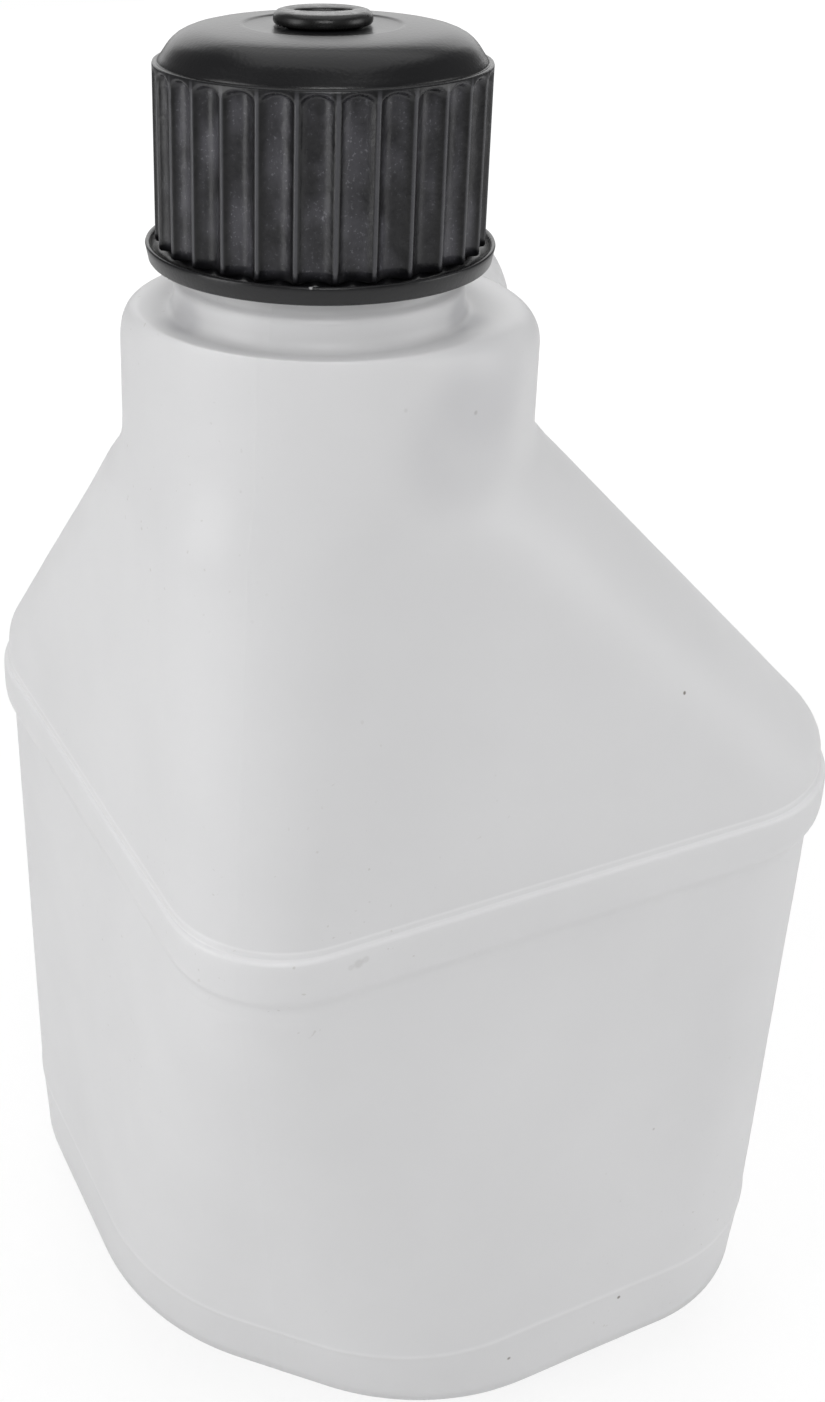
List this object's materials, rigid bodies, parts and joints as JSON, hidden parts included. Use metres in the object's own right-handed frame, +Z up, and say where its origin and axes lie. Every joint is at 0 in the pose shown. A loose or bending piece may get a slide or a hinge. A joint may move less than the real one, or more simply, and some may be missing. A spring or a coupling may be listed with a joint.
{
  "type": "utility jug",
  "caption": "Square blow-moulded utility jug with a corner neck, a moulded diagonal handle and a fluted black screw cap with a rubber plug.",
  "frame": {"origin": "centre of the bounding box's underside, on the plane that the jug stands on", "axes": "+Z up, +X and +Y square to the jug's flat sides, the neck in the -X -Y corner and the handle towards the +X +Y corner"},
  "size_m": [0.2158, 0.2158, 0.4307],
  "materials": {
    "jug_plastic": "satin white natural polyethylene",
    "cap_plastic": "satin black, cloudy wear in the flutes",
    "gasket_rubber": "matte black",
    "plug_rubber": "soft satin black"
  },
  "bodies": {
    "jug": {"jug_body": "jug_plastic"},
    "seal": {"cap_gasket": "gasket_rubber"},
    "cap": {"cap": "cap_plastic"},
    "plug": {"vent_plug": "plug_rubber"}
  },
  "joints": [
    {"name": "cap_lift", "type": "slide", "parent": "jug", "child": "seal", "axis": [0, 0, 1], "range_m": [0, 0.009]},
    {"name": "cap_turn", "type": "hinge", "parent": "seal", "child": "cap", "pos_m": [-0.0575, -0.0575, 0.4], "axis": [0, 0, 1], "range_deg": [0, 540]},
    {"name": "plug_pull", "type": "slide", "parent": "cap", "child": "plug", "axis": [0, 0, 1], "range_m": [0, 0.015]}
  ],
  "couplings": [
    {"joint": "cap_lift", "follows": "cap_turn", "m_per_rad": 0.00095493}
  ]
}
